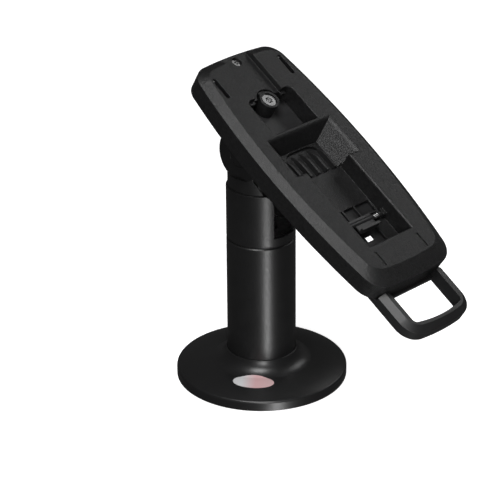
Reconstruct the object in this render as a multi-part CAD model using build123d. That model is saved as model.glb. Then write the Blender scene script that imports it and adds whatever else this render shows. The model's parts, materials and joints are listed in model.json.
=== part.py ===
from build123d import *
from math import cos, radians, sin, sqrt
import os

# Countertop stand for a card payment terminal: a round screw-down base, a pole that swivels
# at mid height, and a tilting cradle plate with a lifting handle.
# Millimetres. +Z is up, the origin is the centre of the base's underside, the cradle faces -Y
# and the tilt axis runs along X.

# ---------------------------------------------------------------- driving dimensions
POLE_R = 21.0  # outside radius of both pole tubes
POLE_WALL = 2.5
BASE_R = 52.4  # outside radius of the base cover
SEAM_Z = 93.0  # height of the swivel seam
POLE_TOP_Z = 127.0  # top edge of the upper tube
TILT_Z = 150.3  # height of the tilt axis
TILT_DEG = 32.48  # how far the cradle leans forward at rest
PLATE_GAP = 30.3  # tilt axis to the cradle's outline plane, along the cradle's normal
PLATE_TOP = 128.3  # cradle's upper end, in the cradle's own frame
PLATE_BOTTOM = -47.2
PLATE_HALF_W = 40.5
AXIS_Y = TILT_Z * sin(radians(TILT_DEG))  # tilt axis in the cradle's own frame
FIT = 0.05  # radial clearance of a running fit
EPS = 0.5  # how far a cutting tool runs past a face

# ---------------------------------------------------------------- base
PAD_T = 1.2
BASE_PLATE_T = 4.0
CABLE_R = 11.0  # bore up through pad, plate and flange
PAD_R = 50.0
COUNTER_PCD_R = 38.0  # four tapped holes that hold the stand to a counter
COUNTER_HOLE_R = 2.1
PAD_HOLE_R = 3.2
FLANGE_R = 26.0
FLANGE_T = 2.8
SPIGOT_R = POLE_R - POLE_WALL
SPIGOT_TOP_Z = 26.0
COLLAR_TOP_Z = 18.3
BACK_ANGLES = (60, 120)  # where the upper tube's screws sit, around the back
SHAFT_SCREW_Z = 96.6
YOKE_SCREW_Z = 119.5
TUBE_SCREW_R = 1.25
COVER_T = 2.2
FLANGE_SCREW_R = 2.0
FLANGE_SCREW_PCD_R = 14.9
GRUB_R = 2.0
GRUB_Z = 13.0
COLLAR_GAP = 0.3
COVER_LIFT = 0.4  # the cover's rim stays this far off the counter
RIM_Z = 5.2
DECK_EDGE = (50.9, 6.7)  # radius and height of points on the cover's outer profile
DECK_MIDDLE = (42.0, 9.2)
DECK_INNER = (30.5, 10.4)
COLLAR_BEND = (25.2, 12.9)
COLLAR_EDGE = (21.9, 18.1)
BADGE_LONG = 12.5  # half axes of the oval badge
BADGE_SHORT = 6.3
BADGE_CENTRE_R = 34.0
BADGE_DEG = -144.5
BADGE_T = 0.3

PLATE_TOP_Z = PAD_T + BASE_PLATE_T
FLANGE_TOP_Z = PLATE_TOP_Z + FLANGE_T

# ---------------------------------------------------------------- swivel
SHAFT_R = 13.0
SHAFT_BORE_R = 10.0
BUSH_WALL = 1.6
BUSH_FLANGE_R = 20.0
BUSH_FLANGE_T = 0.8
INSERT_BOTTOM_Z = 78.0
LOWER_POLE_TOP_Z = SEAM_Z - BUSH_FLANGE_T / 2
UPPER_POLE_BOTTOM_Z = SEAM_Z + BUSH_FLANGE_T / 2
SHAFT_BOTTOM_Z = 68.0
SHAFT_FLANGE_T = 5.3
WAVE_WASHER_T = 1.0
SWIVEL_NUT_T = 6.0
SWIVEL_NUT_R = 17.0
STOP_PIN_R = 1.5
STOP_PCD_R = 16.4
STOP_RISE = 1.2
STOP_GROOVE_W = 3.6
STOP_GROOVE_DEPTH = 1.5
STOP_BLOCK_DEG = 9.0  # half angle of the block left between the groove's ends

# ---------------------------------------------------------------- cable slot in the upper pole
SLOT_HALF_W = 8.46
SLOT_BOTTOM_Z = 98.7
SLOT_FLARE_Z = 118.5
SLOT_FLARE_HALF_W = 13.2

# ---------------------------------------------------------------- yoke and tilt pivot
YOKE_SPIGOT_Z = 112.0
YOKE_NECK_R = 20.0
YOKE_NECK_TOP_Z = 135.6
YOKE_BORE_R = 13.0
MOUTH_LOW_HALF_W = 13.2
MOUTH_HIGH_HALF_W = 17.0
MOUTH_Y = -8.0
EAR_R = 16.7
EAR_IN = 11.0
EAR_OUT = 18.7
EAR_WEB_HALF_Y = 10.0
SADDLE_CLEAR = 0.6
LUG_R = 16.2
LUG_HALF_W = 10.0
TILT_BOLT_R = 4.0
TILT_HEAD_R = 6.5
COUNTERBORE_R = 7.2
COUNTERBORE_X = 13.0
CAP_IN = 17.2
TILT_NUT_OUT = 16.9
DISC_SPRING_T = 1.0
FRICTION_R = 12.0

# ---------------------------------------------------------------- cradle, in its own frame
FACE_Z = 3.7  # top face above the outline plane
WALL_BOTTOM_Z = -11.8
SHELL_T = 2.4
SIDE_BEVEL = 5.2
END_BEVEL = 10.0
WALL_DRAFT = 0.5
WIDEST_Y = 42.0
TOP_HALF_W = 33.6
BOTTOM_HALF_W = 32.7
END_BULGE = 2.0
TOP_CORNER_R = 12.0
BOTTOM_CORNER_R = 14.5
FLOOR_Z = -8.2
FLOOR_T = 1.8
COVER_PLATE_T = 1.5
COVER_TOP_Z = WALL_BOTTOM_Z + COVER_PLATE_T
LUG_PLATE_TOP_Z = -8.6
LUG_PLATE_BOTTOM_Z = -11.6
LUG_PLATE_HALF_W = 22.0
LUG_PLATE_Y = (62.0, 100.0)
LUG_PLATE_GAP = 0.3

CHANNEL_TOP_HALF_W = 11.3
CHANNEL_FLOOR_HALF_W = 10.6
CHANNEL_Z = 0.6
POCKET_HALF_W = 18.2
POCKET_Y = (67.6, 94.3)
POCKET_R = 4.0
BOSS_Y = 91.7
BOSS_R = 6.3
BOSS_TOP_Z = 1.0
BOSS_GAP_R = 8.0
UPPER_WELL_HALF_W = 26.0
UPPER_WELL_Y = (38.0, 65.0)
ARCH_HALF_W = 15.6
ARCH_Y = (38.6, 58.6)
ARCH_R = 10.0
LOWER_WELL_HALF_W = 18.0
LOWER_WELL_BOTTOM = -19.9
WINDOW_HALF_W = 17.2
WINDOW_POST_X = 4.9
WINDOW_POST_W = 1.2
WINDOW_Y = (2.8, 11.5)
LATCH_HOLE_HALF_W = 8.4
LATCH_HOLE_Y = (-15.8, -3.6)
COVER_HOLE_HALF_W = 3.0
COVER_HOLE_Y = (-11.8, -8.2)
WELL_WALL = 2.0
WELL_SOFT_R = 1.5  # rounding of the wells' top edges
MOUTH_STEPS = 4  # flats that make up the rounded mouth of the upper well
POCKET_SOFT_R = 0.5
RIM_SOFT_R = 0.8
SIDE_SLOT_X = 27.2
SIDE_SLOT_Y = (100.7, 116.0)
SIDE_SLOT_W = 2.8
PIN_R = 1.1  # domed pin at each side slot's upper end
PIN_Y = SIDE_SLOT_Y[1] - PIN_R - 0.1
PIN_SINK = 0.7
PIN_BOTTOM_Z = -2.5
PIN_POST_R = 2.6
PIN_POST_TOP_Z = 1.6
PAD_SLOT_X = 17.8
PAD_SLOT_Y = (-35.0, -24.8)
PAD_SLOT_W = 1.6
FIN_T = 1.4
FIN_PITCH = 6.8
FIN_TOP_Z = -6.4
FIN_BEND = 46.0
FIN_END = 57.0
FIN_PAIRS = 2
FIN_GAP = 0.3  # between the ribs and the arched hole's edge

# ---------------------------------------------------------------- handle, in the cradle's frame
HANDLE_HALF_W = 27.3
HANDLE_END = -77.8
HANDLE_BOW = 2.4  # how far the loop's end bows out
HANDLE_START = -45.9
HANDLE_Z = (-15.1, -9.0)
HANDLE_RIDGE_Z = -6.0
HANDLE_RIDGE_W = 3.0
HANDLE_HOLE_HALF_W = 20.5
HANDLE_HOLE_Y = (-72.0, -47.8)
HANDLE_OUT_R = 12.5
HANDLE_IN_R = 3.0
HANDLE_HEAD_T = 1.5
TONGUE_END = -22.0
TONGUE_R = 8.0

# ---------------------------------------------------------------- latch, in the cradle's frame
LATCH_PIN_Y = -0.4
LATCH_PIN_Z = -6.3
LATCH_PIN_R = 1.0
LATCH_BAR_HALF_W = 15.2
LATCH_EAR_IN = 15.6
LATCH_EAR_HALF_Y = 2.2
LATCH_BARREL_R = 1.75
LATCH_TONGUE_HALF_W = 7.4
LATCH_TONGUE_END = -7.0
LATCH_HOOK_TOP_Z = -2.4
SPRING_IN = 8.6
SPRING_OUT = 13.0
SPRING_WIRE_R = 0.3

# ---------------------------------------------------------------- screws of the cradle
LOCK_SCREW_R = 2.5
LOCK_HEAD_R = 4.4
LOCK_SEAT = 3.6
LOCK_SINK = 0.7
TOP_SCREW_Y = 123.0
TOP_SCREW_SINK = 1.2
TOP_POST_R = 5.0
TOP_POST_Z = -6.0
TOP_NUT_ACROSS = 5.5
TOP_NUT_T = 2.4
TOP_NUT_TOP_Z = -3.4
SMALL_SCREW_R = 1.5
SMALL_HEAD_R = 2.8
CROSS_LENGTH = 3.2  # cross recess in a small screw's head
CROSS_WIDTH = 0.6
CROSS_DEPTH = 0.5
LUG_SCREW_XY = ((-18.6, 65.0), (18.6, 65.0), (-18.6, 97.0), (18.6, 97.0))
COVER_SCREW_XY = ((-28.0, 118.0), (28.0, 118.0), (-33.0, 32.0), (33.0, 32.0))
HANDLE_SCREW_XY = ((-14.0, -32.0), (14.0, -32.0))


def head_frame():
    """The cradle's frame: X along the tilt axis, Y up the slope, Z out of the top face."""
    lean = radians(TILT_DEG)
    foot = TILT_Z * cos(lean) + PLATE_GAP
    origin = (0, -foot * sin(lean), foot * cos(lean))
    return Plane(origin=origin, x_dir=(1, 0, 0), z_dir=(0, -sin(lean), cos(lean)))


HEAD = head_frame()


def slab(x, y, z):
    """A box between three (low, high) pairs."""
    size = [pair[1] - pair[0] for pair in (x, y, z)]
    middle = [(pair[0] + pair[1]) / 2 for pair in (x, y, z)]
    return Pos(*middle) * Box(*size)


def rod(radius, low, high, x=0.0, y=0.0):
    """A cylinder along Z."""
    return Pos(x, y, (low + high) / 2) * Cylinder(radius, high - low)


def rod_x(radius, low, high, y, z):
    """A cylinder along X."""
    return Pos((low + high) / 2, y, z) * Rot(0, 90, 0) * Cylinder(radius, high - low)


def cone(low_r, high_r, low, high, x=0.0, y=0.0):
    """A truncated cone along Z."""
    return Pos(x, y, (low + high) / 2) * Cone(low_r, high_r, high - low)


def hex_along_z(across, low, high, x=0.0, y=0.0):
    """A hexagonal prism of the stated width across its flats."""
    face = RegularPolygon(across / sqrt(3), 6)
    return Pos(x, y, low) * extrude(face, high - low)


def on_circle(radius, count, start=45.0):
    """Points evenly spaced on a circle."""
    angles = [radians(start + 360 * i / count) for i in range(count)]
    return [(radius * cos(a), radius * sin(a)) for a in angles]


def group(shapes):
    """Several separate solids as one shape."""
    return Compound(children=list(shapes))


# ================================================================ base
def base_pad():
    pad = rod(PAD_R, 0, PAD_T) - rod(CABLE_R, -EPS, PAD_T + EPS)
    for x, y in on_circle(COUNTER_PCD_R, 4):
        pad -= rod(PAD_HOLE_R, -EPS, PAD_T + EPS, x, y)
    for x, y in on_circle(FLANGE_SCREW_PCD_R, 4, 0):
        pad -= rod(PAD_HOLE_R, -EPS, PAD_T + EPS, x, y)
    return pad


def flange_screw(x, y):
    """Countersunk screw, driven upward from the plate's underside, with a hex socket."""
    head_top = PAD_T + 2.2
    screw = cone(2 * FLANGE_SCREW_R, FLANGE_SCREW_R, PAD_T, head_top, x, y)
    screw += rod(FLANGE_SCREW_R, head_top, SPIGOT_TOP_Z - 8, x, y)
    return screw - hex_along_z(2.5, PAD_T - EPS, PAD_T + 1.4, x, y)


def flange_screws():
    return group(flange_screw(x, y) for x, y in on_circle(FLANGE_SCREW_PCD_R, 4, 0))


def flange_screw_hole(x, y):
    head_top = PAD_T + 2.2
    hole = cone(2 * FLANGE_SCREW_R, FLANGE_SCREW_R, PAD_T, head_top, x, y)
    return hole + rod(FLANGE_SCREW_R, head_top, SPIGOT_TOP_Z - 8, x, y)


def base_plate():
    plate = rod(PAD_R, PAD_T, PLATE_TOP_Z) - rod(CABLE_R, PAD_T - EPS, PLATE_TOP_Z + EPS)
    for x, y in on_circle(COUNTER_PCD_R, 4):
        plate -= rod(COUNTER_HOLE_R, PAD_T - EPS, PLATE_TOP_Z + EPS, x, y)
    for x, y in on_circle(FLANGE_SCREW_PCD_R, 4, 0):
        plate -= flange_screw_hole(x, y)
    rim = plate.edges().filter_by(GeomType.CIRCLE).sort_by(lambda e: -e.radius)[:2]
    return chamfer(rim, 0.5)


def pole_flange():
    flange = rod(FLANGE_R, PLATE_TOP_Z, FLANGE_TOP_Z) + rod(SPIGOT_R, PLATE_TOP_Z, SPIGOT_TOP_Z)
    flange -= rod(CABLE_R, PLATE_TOP_Z - EPS, SPIGOT_TOP_Z + EPS)
    for x, y in on_circle(FLANGE_SCREW_PCD_R, 4, 0):
        flange -= flange_screw_hole(x, y)
    for angle in (45, 135, 225, 315):
        flange -= radial_rod(GRUB_R, SPIGOT_R - 3.0, SPIGOT_R + EPS, GRUB_Z, angle)
    return flange


def radial_rod(radius, near, far, z, angle):
    """A cylinder that points away from the pole's axis."""
    return Rot(0, 0, angle) * Pos((near + far) / 2, 0, z) * Rot(0, 90, 0) * Cylinder(radius, far - near)


def lower_pole():
    tube = rod(POLE_R, FLANGE_TOP_Z, LOWER_POLE_TOP_Z)
    tube -= rod(SPIGOT_R, FLANGE_TOP_Z - EPS, LOWER_POLE_TOP_Z + EPS)
    top = tube.edges().group_by(Axis.Z)[-1].sort_by(lambda e: -e.radius)[0]
    tube = chamfer(top, 0.7)
    for angle in (45, 135, 225, 315):
        tube -= radial_rod(GRUB_R, SPIGOT_R - EPS, POLE_R + EPS, GRUB_Z, angle)
    return tube


def grub_screws():
    screws = []
    for angle in (45, 135, 225, 315):
        screw = radial_rod(GRUB_R, SPIGOT_R - 3.0, POLE_R - 0.1, GRUB_Z, angle)
        socket = radial_rod(0.9, POLE_R - 1.6, POLE_R + EPS, GRUB_Z, angle)
        screws.append(screw - socket)
    return group(screws)


def base_cover():
    """Dished plastic cover: an upright rim, a shallow cone and a collar that hugs the pole."""
    collar_r = POLE_R + COLLAR_GAP
    inner_r = BASE_R - COVER_T
    lip = Line(COLLAR_EDGE, (collar_r, COLLAR_TOP_Z)) + Line((collar_r, COLLAR_TOP_Z), (collar_r, 12.0))
    inner = Polyline((collar_r, 12.0), (26.5, 8.4), (42.0, 6.9), (inner_r, 5.0), (inner_r, COVER_LIFT))
    foot = Line((inner_r, COVER_LIFT), (BASE_R, COVER_LIFT))
    profile = make_face(cover_outline() + lip + inner + foot)
    return revolve(Plane.XZ * profile, Axis.Z)


def cover_outline():
    """The cover's outer profile: upright wall, rounded rim, dished deck and a fillet to the collar."""
    wall = Line((BASE_R, COVER_LIFT), (BASE_R, RIM_Z))
    rim = ThreePointArc((BASE_R, RIM_Z), (BASE_R - 0.45, RIM_Z + 1.05), DECK_EDGE)
    deck = ThreePointArc(DECK_EDGE, DECK_MIDDLE, DECK_INNER)
    return wall + rim + deck + ThreePointArc(DECK_INNER, COLLAR_BEND, COLLAR_EDGE)


def cover_envelope():
    """The space under the cover's outer surface, filled to the axis."""
    closing = Polyline(COLLAR_EDGE, (0, COLLAR_EDGE[1]), (0, COVER_LIFT), (BASE_R, COVER_LIFT))
    return revolve(Plane.XZ * make_face(cover_outline() + closing), Axis.Z)


def badge():
    """Thin oval label that follows the cover's deck, towards the front left."""
    oval = Pos(BADGE_CENTRE_R, 0, RIM_Z) * extrude(Ellipse(BADGE_SHORT, BADGE_LONG), COLLAR_TOP_Z)
    envelope = cover_envelope()
    skin = (Pos(0, 0, BADGE_T) * envelope & Rot(0, 0, BADGE_DEG) * oval) - envelope
    return skin.solids().sort_by(lambda solid: solid.volume)[-1]


# ================================================================ swivel
def lower_insert():
    """Plug in the lower tube's mouth that carries the swivel bush."""
    plug = rod(SPIGOT_R, INSERT_BOTTOM_Z, LOWER_POLE_TOP_Z)
    plug -= rod(SHAFT_R + BUSH_WALL, INSERT_BOTTOM_Z - EPS, LOWER_POLE_TOP_Z + EPS)
    return plug - rod(STOP_PIN_R, LOWER_POLE_TOP_Z - 8, LOWER_POLE_TOP_Z + EPS, 0, STOP_PCD_R)


def swivel_bush():
    bush = rod(SHAFT_R + BUSH_WALL, INSERT_BOTTOM_Z, UPPER_POLE_BOTTOM_Z)
    bush += rod(BUSH_FLANGE_R, LOWER_POLE_TOP_Z, UPPER_POLE_BOTTOM_Z)
    bush -= rod(SHAFT_R + FIT, INSERT_BOTTOM_Z - EPS, UPPER_POLE_BOTTOM_Z + EPS)
    return bush - rod(STOP_PIN_R, LOWER_POLE_TOP_Z - EPS, UPPER_POLE_BOTTOM_Z + EPS, 0, STOP_PCD_R)


def stop_pin():
    return rod(STOP_PIN_R, LOWER_POLE_TOP_Z - 8, UPPER_POLE_BOTTOM_Z + STOP_RISE, 0, STOP_PCD_R)


def wave_washer():
    low = INSERT_BOTTOM_Z - WAVE_WASHER_T
    return rod(SPIGOT_R - 1.5, low, INSERT_BOTTOM_Z) - rod(SHAFT_R + 0.3, low - EPS, INSERT_BOTTOM_Z + EPS)


def stop_groove():
    """Arc groove under the shaft's flange; the pin runs in it and meets the block at each end."""
    low, high = UPPER_POLE_BOTTOM_Z - EPS, UPPER_POLE_BOTTOM_Z + STOP_GROOVE_DEPTH
    ring = rod(STOP_PCD_R + STOP_GROOVE_W / 2, low, high) - rod(STOP_PCD_R - STOP_GROOVE_W / 2, low, high)
    reach = 2 * STOP_PCD_R
    half_w = reach * sin(radians(STOP_BLOCK_DEG)) / cos(radians(STOP_BLOCK_DEG))
    wedge = make_face(Polyline((0, 0), (half_w, -reach), (-half_w, -reach), (0, 0)))
    return ring - Pos(0, 0, low) * extrude(wedge, high - low)


def swivel_shaft():
    flange_top = UPPER_POLE_BOTTOM_Z + SHAFT_FLANGE_T
    shaft = rod(SHAFT_R, SHAFT_BOTTOM_Z, flange_top) + rod(SPIGOT_R, UPPER_POLE_BOTTOM_Z, flange_top)
    shaft -= rod(SHAFT_BORE_R, SHAFT_BOTTOM_Z - EPS, flange_top + EPS)
    return shaft - stop_groove() - tube_screw_holes()


def swivel_nut():
    top = INSERT_BOTTOM_Z - WAVE_WASHER_T
    nut = hex_along_z(2 * SWIVEL_NUT_R * 0.86, top - SWIVEL_NUT_T, top)
    return nut - rod(SHAFT_R, top - SWIVEL_NUT_T - EPS, top + EPS)


def slot_profile(depth):
    """Cable slot: straight sides that flare out to the tube's top edge."""
    right_low = (SLOT_HALF_W, SLOT_BOTTOM_Z)
    right_bend = (SLOT_HALF_W, SLOT_FLARE_Z)
    right_top = (SLOT_FLARE_HALF_W, POLE_TOP_Z)
    left_low = (-SLOT_HALF_W, SLOT_BOTTOM_Z)
    left_bend = (-SLOT_HALF_W, SLOT_FLARE_Z)
    left_top = (-SLOT_FLARE_HALF_W, POLE_TOP_Z)
    flare_x, flare_z = SLOT_HALF_W + 1.4, SLOT_FLARE_Z + 5.0
    lines = Line(left_low, right_low) + Line(right_low, right_bend)
    lines += ThreePointArc(right_bend, (flare_x, flare_z), right_top)
    above = POLE_TOP_Z + EPS
    lines += Polyline(right_top, (SLOT_FLARE_HALF_W, above), (-SLOT_FLARE_HALF_W, above), left_top)
    lines += ThreePointArc(left_top, (-flare_x, flare_z), left_bend) + Line(left_bend, left_low)
    return extrude(Plane.XZ * make_face(lines), depth)


def upper_pole():
    tube = rod(POLE_R, UPPER_POLE_BOTTOM_Z, POLE_TOP_Z)
    tube -= rod(SPIGOT_R, UPPER_POLE_BOTTOM_Z - EPS, POLE_TOP_Z + EPS)
    bottom = tube.edges().group_by(Axis.Z)[0].sort_by(lambda e: -e.radius)[0]
    top = tube.edges().group_by(Axis.Z)[-1].sort_by(lambda e: -e.radius)[0]
    tube = chamfer([bottom, top], 0.5)
    return tube - slot_profile(2 * POLE_R) - tube_screw_holes()


def tube_screw_holes():
    """Radial holes through the upper tube's back, into the shaft flange and the yoke."""
    holes = [
        radial_rod(TUBE_SCREW_R, SPIGOT_R - 3.0, POLE_R + EPS, z, angle)
        for angle in BACK_ANGLES
        for z in (SHAFT_SCREW_Z, YOKE_SCREW_Z)
    ]
    return group(holes)


def tube_screws():
    """Headless screws that pin the shaft flange and the yoke in the upper tube."""
    screws = []
    for angle in BACK_ANGLES:
        for z in (SHAFT_SCREW_Z, YOKE_SCREW_Z):
            screw = radial_rod(TUBE_SCREW_R, SPIGOT_R - 3.0, POLE_R - 0.2, z, angle)
            screws.append(screw - radial_rod(0.6, POLE_R - 1.6, POLE_R + EPS, z, angle))
    return group(screws)


# ================================================================ yoke and tilt pivot
def yoke():
    """Neck plugged into the upper tube, with two round ears that carry the tilt bolt."""
    body = rod(SPIGOT_R, YOKE_SPIGOT_Z, POLE_TOP_Z) + rod(YOKE_NECK_R, POLE_TOP_Z, YOKE_NECK_TOP_Z)
    body -= rod(YOKE_BORE_R, YOKE_SPIGOT_Z - EPS, YOKE_NECK_TOP_Z + EPS)
    slot = (-SLOT_HALF_W - 0.3, SLOT_HALF_W + 0.3)
    body -= slab(slot, (-POLE_R, 0), (YOKE_SPIGOT_Z - EPS, POLE_TOP_Z + EPS))
    flared = (-SLOT_FLARE_HALF_W, SLOT_FLARE_HALF_W)
    body -= slab(flared, (-POLE_R, MOUTH_Y), (SLOT_FLARE_Z, POLE_TOP_Z + EPS))
    web = slab((EAR_IN, EAR_OUT), (-EAR_WEB_HALF_Y, EAR_WEB_HALF_Y), (POLE_TOP_Z, TILT_Z - 5))
    web = web & rod(YOKE_NECK_R, POLE_TOP_Z, TILT_Z)
    ear = rod_x(EAR_R, EAR_IN, EAR_OUT, 0, TILT_Z)
    ear = chamfer(ear.edges().group_by(Axis.X)[-1], 0.8)
    body += ear + web + mirror(ear, Plane.YZ) + mirror(web, Plane.YZ)
    body -= rod_x(LUG_R + SADDLE_CLEAR, -EAR_IN, EAR_IN, 0, TILT_Z)
    between_ears = slab((-EAR_IN, EAR_IN), (-EAR_R, EAR_R), (YOKE_SPIGOT_Z - 1, TILT_Z))
    body -= rod(YOKE_BORE_R, YOKE_SPIGOT_Z - EPS, TILT_Z) & between_ears
    mouth = Polyline(
        (-MOUTH_LOW_HALF_W, POLE_TOP_Z - 0.01),
        (MOUTH_LOW_HALF_W, POLE_TOP_Z - 0.01),
        (MOUTH_HIGH_HALF_W, YOKE_NECK_TOP_Z),
        (-MOUTH_HIGH_HALF_W, YOKE_NECK_TOP_Z),
        (-MOUTH_LOW_HALF_W, POLE_TOP_Z - 0.01),
    )
    scoop = extrude(Plane.XZ * make_face(mouth), POLE_R)
    body -= Pos(0, MOUTH_Y, 0) * scoop
    body -= rod_x(TILT_BOLT_R, -EAR_OUT - EPS, EAR_OUT + EPS, 0, TILT_Z)
    body -= rod_x(COUNTERBORE_R, COUNTERBORE_X, EAR_OUT + EPS, 0, TILT_Z)
    body -= rod_x(COUNTERBORE_R, -EAR_OUT - EPS, -COUNTERBORE_X, 0, TILT_Z)
    return body - tube_screw_holes()


def tilt_bolt():
    bolt = rod_x(TILT_BOLT_R, -COUNTERBORE_X, TILT_NUT_OUT, 0, TILT_Z)
    bolt += rod_x(TILT_HEAD_R, -TILT_NUT_OUT, -COUNTERBORE_X, 0, TILT_Z)
    socket = extrude(Plane.YZ * RegularPolygon(2.9, 6), 2.2)
    return bolt - Pos(-TILT_NUT_OUT, 0, TILT_Z) * socket


def disc_springs():
    """Two cupped washers, face to face, that keep the pivot's grip constant."""
    half = DISC_SPRING_T / 2
    bore = rod_x(TILT_BOLT_R, COUNTERBORE_X - EPS, COUNTERBORE_X + DISC_SPRING_T + EPS, 0, TILT_Z)
    first = rod_x(TILT_HEAD_R, COUNTERBORE_X, COUNTERBORE_X + half, 0, TILT_Z) - bore
    second = Pos(half, 0, 0) * first
    return group([first, second])


def tilt_nut():
    low = COUNTERBORE_X + DISC_SPRING_T
    nut = extrude(Plane.YZ * RegularPolygon(TILT_HEAD_R, 6), TILT_NUT_OUT - low)
    nut = Pos(low, 0, TILT_Z) * nut
    return nut - rod_x(TILT_BOLT_R, low - EPS, TILT_NUT_OUT + EPS, 0, TILT_Z)


def friction_washers():
    washer = rod_x(FRICTION_R, LUG_HALF_W, EAR_IN, 0, TILT_Z)
    washer -= rod_x(TILT_BOLT_R, LUG_HALF_W - EPS, EAR_IN + EPS, 0, TILT_Z)
    return group([washer, mirror(washer, Plane.YZ)])


def pivot_caps():
    cap = rod_x(COUNTERBORE_R, CAP_IN, EAR_OUT, 0, TILT_Z)
    cap = chamfer(cap.edges().group_by(Axis.X)[-1], 0.4)
    return group([cap, mirror(cap, Plane.YZ)])


# ================================================================ cradle
def outline(side_inset, top_inset, bottom_inset, sharpen=0.0):
    """The cradle's outline: bowed sides and ends, with round corners made sharper on request."""
    top, bottom = PLATE_TOP - top_inset, PLATE_BOTTOM + bottom_inset
    shoulder_top, shoulder_bottom = top - END_BULGE, bottom + END_BULGE
    top_w, bottom_w = TOP_HALF_W - side_inset, BOTTOM_HALF_W - side_inset
    widest = PLATE_HALF_W - side_inset
    lines = ThreePointArc((bottom_w, shoulder_bottom), (widest, WIDEST_Y), (top_w, shoulder_top))
    lines += ThreePointArc((top_w, shoulder_top), (0, top), (-top_w, shoulder_top))
    lines += ThreePointArc((-top_w, shoulder_top), (-widest, WIDEST_Y), (-bottom_w, shoulder_bottom))
    lines += ThreePointArc((-bottom_w, shoulder_bottom), (0, bottom), (bottom_w, shoulder_bottom))
    face = make_face(lines)
    face = fillet(face.vertices().group_by(Axis.Y)[-1], TOP_CORNER_R - sharpen)
    return fillet(face.vertices().sort_by(Axis.Y)[:2], BOTTOM_CORNER_R - sharpen)


def inset_outline(inset):
    return outline(inset, inset, inset, inset)


def stacked(levels):
    """A solid lofted straight through faces at rising heights."""
    return loft([Pos(0, 0, z) * face for z, face in levels], ruled=True)


def rounded_slab(half_w, y, z, radius):
    low, high = z
    face = Pos(0, (y[0] + y[1]) / 2) * RectangleRounded(2 * half_w, y[1] - y[0], radius)
    return Pos(0, 0, low) * extrude(face, high - low)


def channel_cut():
    """Shallow trough down the cradle's centre line, with sloping sides."""
    half_top = CHANNEL_TOP_HALF_W + EPS * (CHANNEL_TOP_HALF_W - CHANNEL_FLOOR_HALF_W) / (FACE_Z - CHANNEL_Z)
    section = Polyline(
        (-CHANNEL_FLOOR_HALF_W, CHANNEL_Z),
        (CHANNEL_FLOOR_HALF_W, CHANNEL_Z),
        (half_top, FACE_Z + EPS),
        (-half_top, FACE_Z + EPS),
        (-CHANNEL_FLOOR_HALF_W, CHANNEL_Z),
    )
    length = PLATE_TOP + EPS - POCKET_Y[1] + 2
    trough = extrude(Plane.XZ * make_face(section), -length)
    return Pos(0, POCKET_Y[1] - 2, 0) * trough


def upper_well_level(z, spread=0.0):
    """The upper well's outline at a height, widened by the rounding of its mouth."""
    share = (z - FLOOR_Z) / (FACE_Z - FLOOR_Z)
    half_w = ARCH_HALF_W + EPS + share * (UPPER_WELL_HALF_W - ARCH_HALF_W - EPS) + spread
    top = ARCH_Y[1] + EPS + share * (UPPER_WELL_Y[1] - ARCH_Y[1] - EPS) + spread
    bottom = UPPER_WELL_Y[0] - spread
    return z, Pos(0, (bottom + top) / 2) * Rectangle(2 * half_w, top - bottom)


def upper_well_cut():
    """Funnel whose sides slope down to the arched hole, with a rounded mouth."""
    bend = FACE_Z - WELL_SOFT_R
    levels = [upper_well_level(FLOOR_Z), upper_well_level(bend)]
    for step in range(1, MOUTH_STEPS + 1):
        angle = radians(90 * step / MOUTH_STEPS)
        rise, spread = WELL_SOFT_R * sin(angle), WELL_SOFT_R * (1 - cos(angle))
        levels.append(upper_well_level(bend + rise, spread))
    mouth = levels[-1][1]
    return stacked(levels) + Pos(0, 0, FACE_Z) * extrude(mouth, EPS)


def arch_face(gap=0):
    """Outline of the arched hole, drawn in by a gap all round."""
    middle = (ARCH_Y[0] + ARCH_Y[1]) / 2
    height = ARCH_Y[1] - ARCH_Y[0] - 2 * gap
    face = Pos(0, middle) * Rectangle(2 * (ARCH_HALF_W - gap), height)
    upper = face.vertices().group_by(Axis.Y)[-1]
    return fillet(upper, ARCH_R - gap)


def arch_cut():
    return Pos(0, 0, FLOOR_Z - FLOOR_T - EPS) * extrude(arch_face(), FLOOR_T + 2 * EPS)


def lower_well_cut():
    y = (LOWER_WELL_BOTTOM, UPPER_WELL_Y[0] + 1)
    return slab((-LOWER_WELL_HALF_W, LOWER_WELL_HALF_W), y, (FLOOR_Z, FACE_Z + EPS))


def softened(shell):
    """Rounds the top edges of the lower well and of the pocket."""
    top = shell.edges().filter_by(lambda edge: edge.bounding_box().min.Z > FACE_Z - 0.01)
    inner = [edge for edge in top if abs(edge.center().X) < POCKET_HALF_W + EPS]
    well_y = (LOWER_WELL_BOTTOM - EPS, UPPER_WELL_Y[0] - 2 * WELL_SOFT_R)
    well = [edge for edge in inner if well_y[0] < edge.center().Y < well_y[1]]
    pocket = [edge for edge in inner if POCKET_Y[0] - EPS < edge.center().Y < POCKET_Y[1] + EPS]
    shell = fillet(well, WELL_SOFT_R)
    return fillet(matching(shell, pocket), POCKET_SOFT_R)


def matching(shape, wanted):
    """The shape's edges that lie where the wanted edges lie."""
    places = [edge.center() for edge in wanted]
    return [edge for edge in shape.edges() if any((edge.center() - place).length < 0.01 for place in places)]


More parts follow.
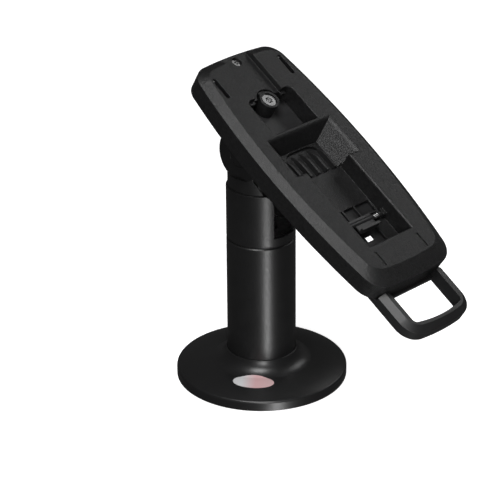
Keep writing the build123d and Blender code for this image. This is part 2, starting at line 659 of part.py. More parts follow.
def cradle_shell():
    """Moulded front of the cradle: bevelled rim, trough, lock pocket and two stepped wells."""
    outer = stacked([
        (WALL_BOTTOM_Z, inset_outline(WALL_DRAFT)),
        (0, inset_outline(0)),
        (FACE_Z, outline(SIDE_BEVEL, SIDE_BEVEL, END_BEVEL, SIDE_BEVEL - 1)),
    ])
    outer = fillet(outer.edges().group_by(Axis.Z)[-1], RIM_SOFT_R)
    hollow_side = SIDE_BEVEL + 2.0
    cavity = stacked([
        (WALL_BOTTOM_Z - EPS, inset_outline(WALL_DRAFT + SHELL_T)),
        (-1.0, inset_outline(SHELL_T + 0.2)),
        (FACE_Z - SHELL_T, outline(hollow_side, hollow_side, END_BEVEL + 2.5, hollow_side - 1)),
    ])
    shell = outer - cavity

    trough_y = (POCKET_Y[1], PLATE_TOP - 3)
    trough = (-CHANNEL_TOP_HALF_W - WELL_WALL, CHANNEL_TOP_HALF_W + WELL_WALL)
    walls = slab(trough, trough_y, (CHANNEL_Z - WELL_WALL, FACE_Z))
    walls += rod(TOP_POST_R, TOP_POST_Z, FACE_Z, 0, TOP_SCREW_Y)
    pocket_wall = (-POCKET_HALF_W - WELL_WALL, POCKET_HALF_W + WELL_WALL)
    pocket_y = (POCKET_Y[0] - WELL_WALL, POCKET_Y[1] + WELL_WALL)
    pocket_top = (LUG_PLATE_TOP_Z, FACE_Z)
    walls += slab(pocket_wall, pocket_y, pocket_top)
    walls += rod(BOSS_GAP_R + WELL_WALL, *pocket_top, 0, BOSS_Y)
    upper_wall = (-UPPER_WELL_HALF_W - WELL_WALL, UPPER_WELL_HALF_W + WELL_WALL)
    upper_y = (UPPER_WELL_Y[0] - WELL_WALL, UPPER_WELL_Y[1] + WELL_WALL)
    lower_wall = (-LOWER_WELL_HALF_W - WELL_WALL, LOWER_WELL_HALF_W + WELL_WALL)
    lower_y = (LOWER_WELL_BOTTOM - WELL_WALL, UPPER_WELL_Y[0])
    floor = (FLOOR_Z - FLOOR_T, FACE_Z)
    walls += funnel_wall(upper_wall, upper_y) + slab(lower_wall, lower_y, floor)
    for x in (-SIDE_SLOT_X, SIDE_SLOT_X):
        walls += rod(PIN_POST_R, PIN_BOTTOM_Z, PIN_POST_TOP_Z, x, PIN_Y)
    for x, y in LUG_SCREW_XY:
        walls += rod(4.2, LUG_PLATE_TOP_Z, FACE_Z - 1, x, y)
    for x, y in COVER_SCREW_XY:
        walls += rod(3.4, COVER_TOP_Z, FACE_Z - 2, x, y)
    for x, y in HANDLE_SCREW_XY:
        walls += rod(3.6, COVER_TOP_Z, FACE_Z - 1.5, x, y)
    shell += walls & outer

    shell -= channel_cut() + pocket_cut() + upper_well_cut() + arch_cut() + lower_well_cut()
    shell = softened(shell)
    floor_cut = (FLOOR_Z - FLOOR_T - EPS, FLOOR_Z + EPS)
    shell -= slab((-WINDOW_HALF_W, WINDOW_HALF_W), WINDOW_Y, floor_cut)
    for x in (-WINDOW_POST_X, WINDOW_POST_X):
        post = (x - WINDOW_POST_W / 2, x + WINDOW_POST_W / 2)
        shell += slab(post, (WINDOW_Y[0] - EPS, WINDOW_Y[1] + EPS), (FLOOR_Z - FLOOR_T, FLOOR_Z))
    shell -= slab((-LATCH_HOLE_HALF_W, LATCH_HOLE_HALF_W), LATCH_HOLE_Y, floor_cut)
    shell += boss() + latch_ears() + pocket_tabs()
    shell -= rod_x(LATCH_PIN_R, -LOWER_WELL_HALF_W, LOWER_WELL_HALF_W, LATCH_PIN_Y, LATCH_PIN_Z)
    for side in (-1, 1):
        shell -= slot_cut(side * SIDE_SLOT_X, SIDE_SLOT_Y, SIDE_SLOT_W, FACE_Z - SHELL_T - EPS)
        shell -= slot_cut(side * PAD_SLOT_X, PAD_SLOT_Y, PAD_SLOT_W, FACE_Z - 1.2)
        shell -= rod(PIN_R, PIN_BOTTOM_Z - EPS, FACE_Z, side * SIDE_SLOT_X, PIN_Y)
    shell -= rod(LOCK_SCREW_R, LUG_PLATE_TOP_Z - EPS, BOSS_TOP_Z, 0, BOSS_Y)
    shell -= rod(LOCK_HEAD_R + 0.3, BOSS_TOP_Z - LOCK_SEAT, BOSS_TOP_Z + EPS, 0, BOSS_Y)
    shell -= small_screw_space(TOP_SCREW_Y)
    shell -= hex_along_z(TOP_NUT_ACROSS + 0.2, TOP_POST_Z - EPS, TOP_NUT_TOP_Z, 0, TOP_SCREW_Y)
    for x, y in LUG_SCREW_XY:
        shell -= rod(SMALL_SCREW_R, LUG_PLATE_TOP_Z - EPS, LUG_PLATE_TOP_Z + 8, x, y)
    for x, y in COVER_SCREW_XY:
        shell -= rod(SMALL_SCREW_R, COVER_TOP_Z - EPS, COVER_TOP_Z + 8, x, y)
    for x, y in HANDLE_SCREW_XY:
        shell -= rod(SMALL_SCREW_R, COVER_TOP_Z - EPS, COVER_TOP_Z + 9, x, y)
    return shell


def funnel_wall(x, y):
    """Skin around the upper well's sloping sides."""
    floor = FLOOR_Z - FLOOR_T
    low_half = ARCH_HALF_W + 2.5 + WELL_WALL
    low_face = Pos(0, (y[0] + ARCH_Y[1] + 3) / 2) * Rectangle(2 * low_half, ARCH_Y[1] + 3 - y[0])
    high_face = Pos(0, (y[0] + y[1]) / 2) * Rectangle(x[1] - x[0], y[1] - y[0])
    return stacked([(floor, low_face), (FACE_Z, high_face)])


def pocket_cut():
    """Lock pocket: round corners at its upper end only, and a wider bore around the boss."""
    through = (LUG_PLATE_TOP_Z - EPS, FACE_Z + EPS)
    cut = rounded_slab(POCKET_HALF_W, POCKET_Y, through, POCKET_R)
    square_end = (POCKET_Y[0], POCKET_Y[0] + 2 * POCKET_R)
    cut += slab((-POCKET_HALF_W, POCKET_HALF_W), square_end, through)
    return cut + rod(BOSS_GAP_R, *through, 0, BOSS_Y)


def boss():
    """Post for the lock screw, held by a rib to the pocket's upper wall."""
    post = rod(BOSS_R, LUG_PLATE_TOP_Z, BOSS_TOP_Z, 0, BOSS_Y)
    return post + slab((-2.5, 2.5), (BOSS_Y, BOSS_Y + BOSS_GAP_R + 1), (LUG_PLATE_TOP_Z, CHANNEL_Z - 1))


def pocket_tabs():
    tab = slab((10.6, 14.4), (POCKET_Y[1] - 2.2, POCKET_Y[1] + 1), (CHANNEL_Z - 1.5, CHANNEL_Z))
    return tab + mirror(tab, Plane.YZ)


def latch_ears():
    """Two lugs on the well floor that hold the latch pin."""
    x = (LATCH_EAR_IN, LOWER_WELL_HALF_W + EPS)
    y = (LATCH_PIN_Y - LATCH_EAR_HALF_Y, LATCH_PIN_Y + LATCH_EAR_HALF_Y)
    ear = slab(x, y, (FLOOR_Z - 0.1, LATCH_PIN_Z + 2.0))
    return ear + mirror(ear, Plane.YZ)


def slot_cut(x, y, width, low):
    face = Pos(x, (y[0] + y[1]) / 2) * SlotOverall(y[1] - y[0], width, rotation=90)
    return Pos(0, 0, low) * extrude(face, FACE_Z + EPS - low)


def small_screw_space(y):
    seat = CHANNEL_Z - TOP_SCREW_SINK - 1.2
    return rod(SMALL_HEAD_R + 0.4, seat, FACE_Z, 0, y) + rod(SMALL_SCREW_R, seat - 6, seat, 0, y)


def back_cover():
    """Flat closing plate with ribs under the arched hole and an opening for the bracket."""
    reach = WALL_DRAFT + SHELL_T + 0.3
    plate = Pos(0, 0, WALL_BOTTOM_Z) * extrude(inset_outline(reach), COVER_PLATE_T)
    opening_x = (-LUG_PLATE_HALF_W - LUG_PLATE_GAP, LUG_PLATE_HALF_W + LUG_PLATE_GAP)
    opening_y = (LUG_PLATE_Y[0] - LUG_PLATE_GAP, LUG_PLATE_Y[1] + LUG_PLATE_GAP)
    plate -= slab(opening_x, opening_y, (WALL_BOTTOM_Z - EPS, COVER_TOP_Z + EPS))
    through = (WALL_BOTTOM_Z - EPS, COVER_TOP_Z + EPS)
    plate -= slab((-COVER_HOLE_HALF_W, COVER_HOLE_HALF_W), COVER_HOLE_Y, through)
    fin_room = Pos(0, 0, WALL_BOTTOM_Z) * extrude(arch_face(FIN_GAP), FLOOR_Z - WALL_BOTTOM_Z + 5)
    for i in range(-FIN_PAIRS, FIN_PAIRS + 1):
        plate += (Pos(i * FIN_PITCH, 0, 0) * fin()) & fin_room
    for x, y in COVER_SCREW_XY:
        plate -= rod(SMALL_SCREW_R, WALL_BOTTOM_Z - EPS, COVER_TOP_Z + EPS, x, y)
        plate -= rod(SMALL_HEAD_R, WALL_BOTTOM_Z - EPS, WALL_BOTTOM_Z + 0.8, x, y)
    for x, y in HANDLE_SCREW_XY:
        plate -= rod(SMALL_SCREW_R, WALL_BOTTOM_Z - EPS, COVER_TOP_Z + EPS, x, y)
    return plate


def fin():
    """Rib across the back cover, level at its lower end and falling in an arc to its upper end."""
    low, start = COVER_TOP_Z - 0.1, ARCH_Y[0]
    side = Line((start, low), (start, FIN_TOP_Z)) + Line((start, FIN_TOP_Z), (FIN_BEND, FIN_TOP_Z))
    middle = ((FIN_BEND + 2 * FIN_END) / 3, (low + 2 * FIN_TOP_Z) / 3)
    side += ThreePointArc((FIN_BEND, FIN_TOP_Z), middle, (FIN_END, low))
    side += Line((FIN_END, low), (start, low))
    return Pos(-FIN_T / 2, 0, 0) * extrude(Plane.YZ * make_face(side), FIN_T)


def tilt_bracket():
    """Cast bracket: a plate screwed to the shell and a barrel that turns on the tilt bolt."""
    plate_x = (-LUG_PLATE_HALF_W, LUG_PLATE_HALF_W)
    bracket = slab(plate_x, LUG_PLATE_Y, (LUG_PLATE_BOTTOM_Z, LUG_PLATE_TOP_Z))
    web_y = (AXIS_Y - 13.0, AXIS_Y + 13.0)
    bracket += slab((-LUG_HALF_W, LUG_HALF_W), web_y, (-24.0, LUG_PLATE_BOTTOM_Z))
    bracket += rod_x(LUG_R, -LUG_HALF_W, LUG_HALF_W, AXIS_Y, -PLATE_GAP)
    bracket -= rod_x(TILT_BOLT_R + FIT, -LUG_HALF_W - EPS, LUG_HALF_W + EPS, AXIS_Y, -PLATE_GAP)
    for x, y in LUG_SCREW_XY:
        bracket -= rod(SMALL_SCREW_R, LUG_PLATE_BOTTOM_Z - EPS, LUG_PLATE_TOP_Z + EPS, x, y)
        bracket -= rod(SMALL_HEAD_R, LUG_PLATE_BOTTOM_Z - EPS, LUG_PLATE_BOTTOM_Z + 1.5, x, y)
    return bracket - rod(LOCK_SCREW_R, -16.5, LUG_PLATE_TOP_Z + EPS, 0, BOSS_Y)


def small_screw(x, y, head_low, head_t, seat, length):
    """Pan screw driven upward: head at head_low, thread up from seat."""
    head_top = head_low + head_t
    screw = rod(SMALL_HEAD_R, head_low, head_top, x, y)
    screw += rod(SMALL_SCREW_R, head_top, seat + length, x, y)
    recess = (head_low - EPS, head_low + CROSS_DEPTH)
    long, short = CROSS_LENGTH / 2, CROSS_WIDTH / 2
    screw -= slab((x - long, x + long), (y - short, y + short), recess)
    return screw - slab((x - short, x + short), (y - long, y + long), recess)


def bracket_screws():
    return group(small_screw(x, y, LUG_PLATE_BOTTOM_Z, 1.5, LUG_PLATE_TOP_Z, 7.5) for x, y in LUG_SCREW_XY)


def cover_screws():
    return group(small_screw(x, y, WALL_BOTTOM_Z, 0.8, COVER_TOP_Z, 7.5) for x, y in COVER_SCREW_XY)


def handle_screws():
    low = HANDLE_Z[0]
    return group(small_screw(x, y, low, HANDLE_HEAD_T, COVER_TOP_Z, 8.5) for x, y in HANDLE_SCREW_XY)


def driven_screw(y, top, head_r, head_t, shank_r, bottom):
    """Socket screw driven downward, on the cradle's centre line."""
    screw = rod(head_r, top - head_t, top, 0, y) + rod(shank_r, bottom, top - head_t, 0, y)
    return screw - hex_along_z(head_r * 0.95, top - head_t * 0.6, top + EPS, 0, y)


def lock_screw():
    top, head_t = BOSS_TOP_Z - LOCK_SINK, LOCK_SEAT - LOCK_SINK
    return driven_screw(BOSS_Y, top, LOCK_HEAD_R, head_t, LOCK_SCREW_R, -16.4)


def slot_pins():
    """Domed steel pins at the upper ends of the side slots, pressed into the posts below them."""
    dome_z = FACE_Z - PIN_SINK - PIN_R
    pins = []
    for x in (-SIDE_SLOT_X, SIDE_SLOT_X):
        pins.append(rod(PIN_R, PIN_BOTTOM_Z, dome_z, x, PIN_Y) + Pos(x, PIN_Y, dome_z) * Sphere(PIN_R))
    return group(pins)


def top_screw():
    top = CHANNEL_Z - TOP_SCREW_SINK
    return driven_screw(TOP_SCREW_Y, top, SMALL_HEAD_R, 1.2, SMALL_SCREW_R, top - 7.0)


def top_screw_nut():
    """Hex nut in a pocket under the shell, for the upper screw."""
    low = TOP_NUT_TOP_Z - TOP_NUT_T
    nut = hex_along_z(TOP_NUT_ACROSS, low, TOP_NUT_TOP_Z, 0, TOP_SCREW_Y)
    return nut - rod(SMALL_SCREW_R, low - EPS, TOP_NUT_TOP_Z + EPS, 0, TOP_SCREW_Y)


# ================================================================ handle
def handle_loop():
    """Lifting loop below the cradle: a bevelled ring and a tongue screwed under the shell."""
    low, high = HANDLE_Z
    outer = handle_face(HANDLE_HALF_W, HANDLE_END, HANDLE_START, HANDLE_OUT_R)
    inset = HANDLE_HALF_W - HANDLE_HOLE_HALF_W - HANDLE_RIDGE_W
    ridge = handle_face(HANDLE_HALF_W - inset, HANDLE_END + inset, HANDLE_START, HANDLE_OUT_R - inset)
    ring = Pos(0, 0, low) * extrude(outer, high - low)
    ring += stacked([(high, outer), (HANDLE_RIDGE_Z, ridge)])
    shell_side = (HANDLE_HOLE_Y[1], HANDLE_START + EPS)
    ring -= slab((-HANDLE_HOLE_HALF_W, HANDLE_HOLE_HALF_W), shell_side, (WALL_BOTTOM_Z, 0))
    tongue_x = (-HANDLE_HALF_W, HANDLE_HALF_W)
    tongue = slab(tongue_x, (HANDLE_HOLE_Y[1], TONGUE_END), (low, WALL_BOTTOM_Z))
    tongue = fillet(tongue.edges().filter_by(Axis.Z).group_by(Axis.Y)[-1], TONGUE_R)
    hole = handle_face(HANDLE_HOLE_HALF_W, *HANDLE_HOLE_Y, HANDLE_IN_R)
    loop = ring + tongue - Pos(0, 0, low - EPS) * extrude(hole, -low)
    for x, y in HANDLE_SCREW_XY:
        loop -= rod(SMALL_HEAD_R, low - EPS, low + HANDLE_HEAD_T, x, y)
        loop -= rod(SMALL_SCREW_R, low, WALL_BOTTOM_Z + EPS, x, y)
    return loop


def handle_face(half_w, end, start, radius):
    """Outline with straight sides, a bowed end and round corners at that end."""
    shoulder = end + HANDLE_BOW
    lines = Polyline((half_w, shoulder), (half_w, start), (-half_w, start), (-half_w, shoulder))
    lines += ThreePointArc((-half_w, shoulder), (0, end), (half_w, shoulder))
    face = make_face(lines)
    corners = face.vertices().sort_by(Axis.Y)[:2]
    return fillet(corners, radius)


# ================================================================ latch
def latch_lever():
    """Sprung catch: a barrel on the pin, a press bar across the well and a hooked tongue."""
    reach = (-LATCH_BAR_HALF_W, LATCH_BAR_HALF_W)
    lever = rod_x(LATCH_BARREL_R, *reach, LATCH_PIN_Y, LATCH_PIN_Z)
    bar_z = (LATCH_PIN_Z - 0.4, LATCH_PIN_Z + 0.9)
    lever += slab(reach, (LATCH_PIN_Y, LATCH_PIN_Y + 3.0), bar_z)
    tongue = (-LATCH_TONGUE_HALF_W, LATCH_TONGUE_HALF_W)
    lever += slab(tongue, (LATCH_TONGUE_END, LATCH_PIN_Y), bar_z)
    heel_y = (LATCH_PIN_Y + 2.0, LATCH_PIN_Y + 3.0)
    lever += slab(reach, heel_y, (FLOOR_Z, bar_z[0]))
    hook_y = (LATCH_TONGUE_END, LATCH_TONGUE_END + 1.6)
    lever += slab(tongue, hook_y, (bar_z[0], LATCH_HOOK_TOP_Z))
    spring_x = (SPRING_IN - 0.3, SPRING_OUT + 0.3)
    lever -= slab(spring_x, (LATCH_PIN_Y - 3, LATCH_PIN_Y + 2.2), (FLOOR_Z, LATCH_PIN_Z + 3))
    return lever - rod_x(LATCH_PIN_R + FIT, -LATCH_EAR_IN, LATCH_EAR_IN, LATCH_PIN_Y, LATCH_PIN_Z)


def latch_pin():
    return rod_x(LATCH_PIN_R, -LOWER_WELL_HALF_W, LOWER_WELL_HALF_W, LATCH_PIN_Y, LATCH_PIN_Z)


def latch_spring():
    """Torsion spring wound on the latch pin."""
    pitch = 0.8
    turns_length = SPRING_OUT - SPRING_IN - 2 * SPRING_WIRE_R
    mean_r = LATCH_PIN_R + 0.15 + SPRING_WIRE_R
    path = Helix(pitch=pitch, height=turns_length, radius=mean_r)
    section = Plane(path @ 0, z_dir=path % 0) * Circle(SPRING_WIRE_R)
    coil = sweep(section, path=path, is_frenet=True)
    return Pos(SPRING_IN + SPRING_WIRE_R, LATCH_PIN_Y, LATCH_PIN_Z) * Rot(0, 90, 0) * coil


# ================================================================ files
FIXED = {
    "base_pad": base_pad,
    "base_plate": base_plate,
    "pole_flange": pole_flange,
    "flange_screws": flange_screws,
    "lower_pole": lower_pole,
    "grub_screws": grub_screws,
    "base_cover": base_cover,
    "badge": badge,
    "lower_insert": lower_insert,
    "swivel_bush": swivel_bush,
    "stop_pin": stop_pin,
    "wave_washer": wave_washer,
    "swivel_shaft": swivel_shaft,
    "swivel_nut": swivel_nut,
    "upper_pole": upper_pole,
    "tube_screws": tube_screws,
    "yoke": yoke,
    "tilt_bolt": tilt_bolt,
    "disc_springs": disc_springs,
    "tilt_nut": tilt_nut,
    "friction_washers": friction_washers,
    "pivot_caps": pivot_caps,
}
TILTED = {
    "tilt_bracket": tilt_bracket,
    "bracket_screws": bracket_screws,
    "cradle_shell": cradle_shell,
    "back_cover": back_cover,
    "cover_screws": cover_screws,
    "handle_loop": handle_loop,
    "handle_screws": handle_screws,
    "lock_screw": lock_screw,
    "slot_pins": slot_pins,
    "top_screw": top_screw,
    "top_screw_nut": top_screw_nut,
    "latch_lever": latch_lever,
    "latch_pin": latch_pin,
    "latch_spring": latch_spring,
}


def main():
    os.makedirs("parts", exist_ok=True)
    for name, build in FIXED.items():
        export_step(build(), f"parts/{name}.step")
    for name, build in TILTED.items():
        export_step(HEAD.location * build(), f"parts/{name}.step")


main()
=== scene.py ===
import json
from math import cos, hypot, pi, radians, sin

import bmesh
import bpy
from mathutils import Matrix, Vector


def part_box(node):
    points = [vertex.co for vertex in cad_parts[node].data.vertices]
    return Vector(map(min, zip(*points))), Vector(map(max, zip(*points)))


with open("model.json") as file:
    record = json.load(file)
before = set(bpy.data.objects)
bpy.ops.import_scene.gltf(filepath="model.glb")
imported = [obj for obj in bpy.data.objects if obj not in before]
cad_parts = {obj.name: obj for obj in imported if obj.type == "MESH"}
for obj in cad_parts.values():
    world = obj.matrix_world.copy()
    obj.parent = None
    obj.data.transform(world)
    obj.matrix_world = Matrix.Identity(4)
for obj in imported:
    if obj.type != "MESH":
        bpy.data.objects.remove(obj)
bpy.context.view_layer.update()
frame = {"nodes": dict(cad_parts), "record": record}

# ---------------------------------------------------------------- values
MM = 0.001
VIEW_AZIMUTH = -45.57
VIEW_PITCH = 25.32
VIEW_ROLL = -0.45
VIEW_DISTANCE = 1.4521
VIEW_HEIGHT = 0.08266  # the camera aims at the pole's axis at this height
VIEW_SIDESTEP = -0.00674  # and this far to the right of it
LENS = 172.8
SENSOR = 36.0

CAMERA_REACH = 20  # nothing further than this is drawn

BOWL_FLAT = 2.4  # radius of the floor's level part
BOWL_BEND = 1.2
BOWL_HEIGHT = 4.0
BOWL_STEPS = 12
BOWL_SIDES = 96
BOWL_DROP = 0.0003  # the floor lies just under the base pad
FLOOR_GREY = 0.85
FLOOR_GLOW = 0.86
WORLD_STRENGTH = 0.06
LIGHT_AIM = (0, 0, 0.12)
# name, azimuth and elevation in degrees, distance, width and height, watts
LIGHTS = [
    ("key_softbox", -55, 62, 1.0, (0.4, 0.4), 8.0),
    ("pole_strip", -27, -31, 0.7, (0.1, 0.18), 1.5),
    ("right_fill", 84, 38, 1.2, (0.45, 0.45), 1.9),
    ("collar_card", -42, 12, 0.8, (0.25, 0.16), 2.6),
]

SHARP_DEG = 30  # edges turning more than this stay sharp
NOISE_LOW = 0.3  # most noise values lie between these two
NOISE_HIGH = 0.7
BEVEL_SAMPLES = 6

BADGE_TONES = [(0.25, (0.6, 0.6, 0.61)), (0.55, (0.58, 0.36, 0.37)), (0.9, (0.55, 0.38, 0.38))]

NODES = frame["nodes"]


# ---------------------------------------------------------------- node helpers
class Surface:
    """One procedural material: a principled shader and the nodes that feed it."""

    def __init__(self, name, color, roughness, metallic=0.0, specular=0.5):
        self.material = bpy.data.materials.new(name)
        self.material.use_nodes = True
        self.tree = self.material.node_tree
        self.shader = self.tree.nodes["Principled BSDF"]
        self.shader.inputs["Base Color"].default_value = (*color, 1)
        self.shader.inputs["Roughness"].default_value = roughness
        self.shader.inputs["Metallic"].default_value = metallic
        self.shader.inputs["Specular IOR Level"].default_value = specular
        self.height = None
        self.place = self.tree.nodes.new("ShaderNodeTexCoord").outputs["Object"]

    def node(self, kind, **values):
        made = self.tree.nodes.new(kind)
        for key, value in values.items():
            if key in made.inputs:
                made.inputs[key].default_value = value
            else:
                setattr(made, key, value)
        return made

    def link(self, out, into):
        self.tree.links.new(out, into)

    def stretched(self, scale):
        mapping = self.node("ShaderNodeMapping")
        mapping.inputs["Scale"].default_value = scale
        self.link(self.place, mapping.inputs["Vector"])
        return mapping.outputs["Vector"]

    def noise(self, size, detail=2.0, roughness=0.5, place=None):
        """Noise whose features are about the given size in metres."""
        made = self.node("ShaderNodeTexNoise")
        made.inputs["Scale"].default_value = 1 / size
        made.inputs["Detail"].default_value = detail
        made.inputs["Roughness"].default_value = roughness
        self.link(place or self.place, made.inputs["Vector"])
        return made.outputs["Fac"]

    def ranged(self, value, low, high, to_low, to_high):
        made = self.node("ShaderNodeMapRange")
        ends = {"From Min": low, "From Max": high, "To Min": to_low, "To Max": to_high}
        for key, number in ends.items():
            made.inputs[key].default_value = number
        self.link(value, made.inputs["Value"])
        return made.outputs["Result"]

    def ramp(self, value, stops):
        made = self.node("ShaderNodeValToRGB")
        elements = made.color_ramp.elements
        while len(elements) < len(stops):
            elements.new(0.5)
        for element, (position, color) in zip(elements, stops):
            element.position = position
            element.color = (*color, 1)
        self.link(value, made.inputs["Fac"])
        return made.outputs["Color"]

    def color(self, value, stops, low=NOISE_LOW, high=NOISE_HIGH):
        """Colour that follows a value as it goes from low to high."""
        ranged = self.ranged(value, low, high, 0, 1)
        self.link(self.ramp(ranged, stops), self.shader.inputs["Base Color"])

    def rough(self, value, to_low, to_high, low=NOISE_LOW, high=NOISE_HIGH):
        """Roughness that follows a value as it goes from low to high."""
        self.link(self.ranged(value, low, high, to_low, to_high), self.shader.inputs["Roughness"])

    def bump(self, value, strength, distance):
        made = self.node("ShaderNodeBump", Strength=strength, Distance=distance)
        self.link(value, made.inputs["Height"])
        if self.height is not None:
            self.link(self.height, made.inputs["Normal"])
        self.height = made.outputs["Normal"]
        self.link(self.height, self.shader.inputs["Normal"])

    def edges(self, radius):
        """Rounds the look of sharp edges."""
        made = self.node("ShaderNodeBevel", samples=BEVEL_SAMPLES)
        made.inputs["Radius"].default_value = radius
        self.height = made.outputs["Normal"]
        self.link(self.height, self.shader.inputs["Normal"])


def shade(grey, blue=1.03):
    return (grey, grey, grey * blue)


def wear(surface, grey, spread, size):
    """Slow light and dark variation of a nearly black finish."""
    value = surface.noise(size, 4.0, 0.6)
    dark, light = shade(grey * (1 - spread)), shade(grey * (1 + spread))
    surface.color(value, [(0.0, dark), (1.0, light)])


# ---------------------------------------------------------------- materials
def grained_plastic():
    """Moulded ABS with a fine spark-eroded grain."""
    grey = 0.007
    s = Surface("cradle_plastic", shade(grey), 0.42, specular=0.4)
    s.edges(0.5 * MM)
    wear(s, grey, 0.5, 1.6 * MM)
    grain = s.noise(1.1 * MM, 4.0, 0.75)
    s.rough(grain, 0.34, 0.5, 0.35, 0.65)
    s.bump(grain, 0.8, 0.34 * MM)
    return s.material


def powder_coat():
    """Fine-textured black paint on the tubes."""
    grey = 0.008
    s = Surface("pole_paint", shade(grey), 0.36, specular=0.5)
    s.edges(0.2 * MM)
    wear(s, grey, 0.15, 9 * MM)
    grain = s.noise(0.9 * MM, 3.0, 0.65)
    s.rough(grain, 0.32, 0.42)
    s.bump(grain, 0.35, 0.12 * MM)
    return s.material


def satin_cover():
    """Smooth satin moulding of the base cover."""
    grey = 0.009
    s = Surface("cover_plastic", shade(grey), 0.34, specular=0.5)
    wear(s, grey, 0.1, 20 * MM)
    fine = s.noise(0.4 * MM, 2.0, 0.5)
    s.rough(fine, 0.3, 0.4)
    s.bump(fine, 0.12, 0.04 * MM)
    return s.material


def plain_plastic(name, grey, roughness):
    s = Surface(name, shade(grey), roughness, specular=0.45)
    s.edges(0.2 * MM)
    wear(s, grey, 0.15, 8 * MM)
    fine = s.noise(0.35 * MM, 2.0, 0.6)
    s.rough(fine, roughness - 0.06, roughness + 0.08)
    s.bump(fine, 0.3, 0.06 * MM)
    return s.material


def cast_paint(name, grey, roughness):
    s = Surface(name, shade(grey), roughness, specular=0.45)
    s.edges(0.3 * MM)
    wear(s, grey, 0.2, 6 * MM)
    lumps = s.noise(0.9 * MM, 3.0, 0.6)
    s.rough(lumps, roughness - 0.07, roughness + 0.07)
    s.bump(lumps, 0.4, 0.1 * MM)
    return s.material


def metal(name, grey, roughness, blue=1.0, stretch=(60, 60, 2500)):
    """Turned or drawn metal with fine lines round it."""
    s = Surface(name, shade(grey, blue), roughness, metallic=1.0)
    lines = s.noise(1.0, 3.0, 0.6, s.stretched(stretch))
    s.rough(lines, roughness - 0.08, roughness + 0.1)
    tone = s.noise(3 * MM, 3.0, 0.5)
    s.color(tone, [(0.0, shade(grey * 0.85, blue)), (1.0, shade(grey * 1.1, blue))])
    s.bump(lines, 0.15, 0.02 * MM)
    return s.material


def turned_brass():
    s = Surface("brass", (0.62, 0.45, 0.2), 0.3, metallic=1.0)
    tone = s.noise(2 * MM, 3.0, 0.5)
    s.color(tone, [(0.0, (0.5, 0.36, 0.15)), (1.0, (0.68, 0.5, 0.24))])
    s.rough(s.noise(0.3 * MM), 0.22, 0.38)
    return s.material


def acetal():
    """Black bearing plastic."""
    grey = 0.012
    s = Surface("acetal", shade(grey), 0.4, specular=0.4)
    wear(s, grey, 0.15, 4 * MM)
    s.rough(s.noise(0.4 * MM), 0.35, 0.5)
    return s.material


def rubber():
    grey = 0.02
    s = Surface("pad_rubber", shade(grey), 0.8, specular=0.3)
    wear(s, grey, 0.2, 5 * MM)
    fine = s.noise(0.6 * MM, 4.0, 0.7)
    s.rough(fine, 0.7, 0.92)
    s.bump(fine, 0.6, 0.1 * MM)
    return s.material


def badge_print():
    """Satin label, light grey at one end and faintly pink at the other, with no lettering."""
    s = Surface("badge_print", (0.42, 0.4, 0.4), 0.45, specular=0.4)
    low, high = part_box("badge")
    reach = hypot(high.x - low.x, high.y - low.y) / 2
    lengthwise = Vector((high.x - low.x, low.y - high.y, 0)).normalized()
    middle = lengthwise.dot((low + high) / 2)
    along = s.node("ShaderNodeVectorMath", operation="DOT_PRODUCT")
    along.inputs[1].default_value = lengthwise
    s.link(s.place, along.inputs[0])
    tone = s.ranged(along.outputs["Value"], middle - reach, middle + reach, 0, 1)
    s.color(tone, BADGE_TONES, 0, 1)
    s.rough(s.noise(0.8 * MM), 0.4, 0.5)
    return s.material


def materials():
    return {
        "pad_rubber": rubber(),
        "plate_paint": cast_paint("plate_paint", 0.03, 0.45),
        "cast_zinc": metal("cast_zinc", 0.45, 0.5, stretch=(900, 900, 900)),
        "screw_steel": metal("screw_steel", 0.4, 0.35),
        "pole_paint": powder_coat(),
        "cover_plastic": satin_cover(),
        "badge_print": badge_print(),
        "turned_aluminium": metal("turned_aluminium", 0.6, 0.3),
        "acetal": acetal(),
        "spring_steel": metal("spring_steel", 0.38, 0.3),
        "yoke_paint": cast_paint("yoke_paint", 0.008, 0.45),
        "cap_plastic": plain_plastic("cap_plastic", 0.008, 0.45),
        "bracket_paint": cast_paint("bracket_paint", 0.014, 0.5),
        "cradle_plastic": grained_plastic(),
        "inner_plastic": plain_plastic("inner_plastic", 0.008, 0.5),
        "handle_plastic": plain_plastic("handle_plastic", 0.012, 0.4),
        "lock_steel": metal("lock_steel", 0.28, 0.24),
        "brass": turned_brass(),
        "latch_plastic": plain_plastic("latch_plastic", 0.012, 0.4),
    }


def paint_nodes(finishes):
    """Gives each CAD node the finish that the record names, and smooth shading between sharp edges."""
    for row in frame["record"]["subparts"]:
        node = NODES[row["node"]]
        node.data.materials.clear()
        node.data.materials.append(finishes[row["material_slot"]])
        node.data.shade_smooth()
        node.data.set_sharp_from_angle(angle=radians(SHARP_DEG))


# ---------------------------------------------------------------- stage
def bowl_profile():
    """Floor radius and height from the middle outwards: flat, then curving up into a wall."""
    points = [(0.0, 0.0), (0.6, 0.0), (BOWL_FLAT, 0.0)]
    for step in range(1, BOWL_STEPS + 1):
        a = radians(90 * step / BOWL_STEPS)
        points.append((BOWL_FLAT + BOWL_BEND * sin(a), BOWL_BEND * (1 - cos(a))))
    points.append((BOWL_FLAT + BOWL_BEND, BOWL_HEIGHT))
    return points


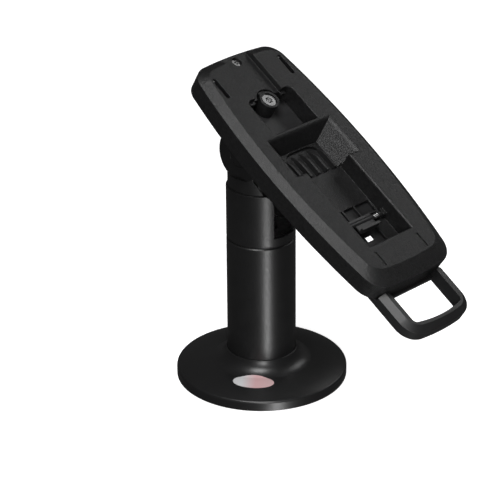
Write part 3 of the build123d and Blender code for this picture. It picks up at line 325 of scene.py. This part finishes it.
def floor():
    """Pale studio bowl. It shows to the camera and takes shadows, and adds no glare to the object."""
    shape = bmesh.new()
    verts = [shape.verts.new((r, 0, z)) for r, z in bowl_profile()]
    edges = [shape.edges.new(pair) for pair in zip(verts, verts[1:])]
    turn = {"cent": (0, 0, 0), "axis": (0, 0, 1), "angle": 2 * pi, "steps": BOWL_SIDES}
    bmesh.ops.spin(shape, geom=verts + edges, **turn)
    bmesh.ops.remove_doubles(shape, verts=shape.verts, dist=MM)
    bmesh.ops.recalc_face_normals(shape, faces=shape.faces)
    bmesh.ops.reverse_faces(shape, faces=shape.faces)
    mesh = bpy.data.meshes.new("floor")
    shape.to_mesh(mesh)
    shape.free()
    mesh.shade_smooth()
    sheet = bpy.data.objects.new("floor", mesh)
    sheet.location.z = -BOWL_DROP
    bpy.context.scene.collection.objects.link(sheet)
    sheet.visible_glossy = False
    sheet.visible_diffuse = False
    sheet.visible_shadow = False
    s = Surface("floor_paper", shade(FLOOR_GREY, 1.0), 0.9, specular=0.0)
    s.rough(s.noise(0.05), 0.85, 0.95)
    s.shader.inputs["Emission Color"].default_value = (1, 1, 1, 1)
    s.shader.inputs["Emission Strength"].default_value = FLOOR_GLOW
    mesh.materials.append(s.material)


def area_light(name, azimuth, elevation, distance, size, watts):
    """A soft rectangular light aimed at LIGHT_AIM, placed by azimuth and elevation about it."""
    a, e = radians(azimuth), radians(elevation)
    data = bpy.data.lights.new(name, "AREA")
    data.shape = "RECTANGLE"
    data.size, data.size_y = size
    data.energy = watts
    lamp = bpy.data.objects.new(name, data)
    back = Vector((sin(a) * cos(e), -cos(a) * cos(e), sin(e)))
    lamp.location = Vector(LIGHT_AIM) + distance * back
    lamp.rotation_euler = back.to_track_quat("Z", "Y").to_euler()
    bpy.context.scene.collection.objects.link(lamp)


def studio():
    world = bpy.data.worlds.new("studio")
    bpy.context.scene.world = world
    world.use_nodes = True
    background = world.node_tree.nodes["Background"]
    background.inputs["Color"].default_value = (1, 1, 1, 1)
    background.inputs["Strength"].default_value = WORLD_STRENGTH
    for row in LIGHTS:
        area_light(*row)
    bpy.context.scene.view_settings.view_transform = "Standard"


def camera():
    a, e, roll = radians(VIEW_AZIMUTH), radians(VIEW_PITCH), radians(VIEW_ROLL)
    back = Vector((sin(a) * cos(e), -cos(a) * cos(e), sin(e)))
    right = Vector((cos(a), sin(a), 0))
    up = back.cross(right)
    tilted_right = right * cos(roll) + up * sin(roll)
    tilted_up = up * cos(roll) - right * sin(roll)
    place = Vector((0, 0, VIEW_HEIGHT)) + VIEW_SIDESTEP * right + VIEW_DISTANCE * back
    data = bpy.data.cameras.new("view")
    data.lens = LENS
    data.sensor_width = SENSOR
    data.clip_end = CAMERA_REACH
    seen = bpy.data.objects.new("view", data)
    turn = Matrix((tilted_right, tilted_up, back)).transposed().to_4x4()
    seen.matrix_world = Matrix.Translation(place) @ turn
    bpy.context.scene.collection.objects.link(seen)
    bpy.context.scene.camera = seen


finishes = materials()
paint_nodes(finishes)
floor()
studio()
camera()
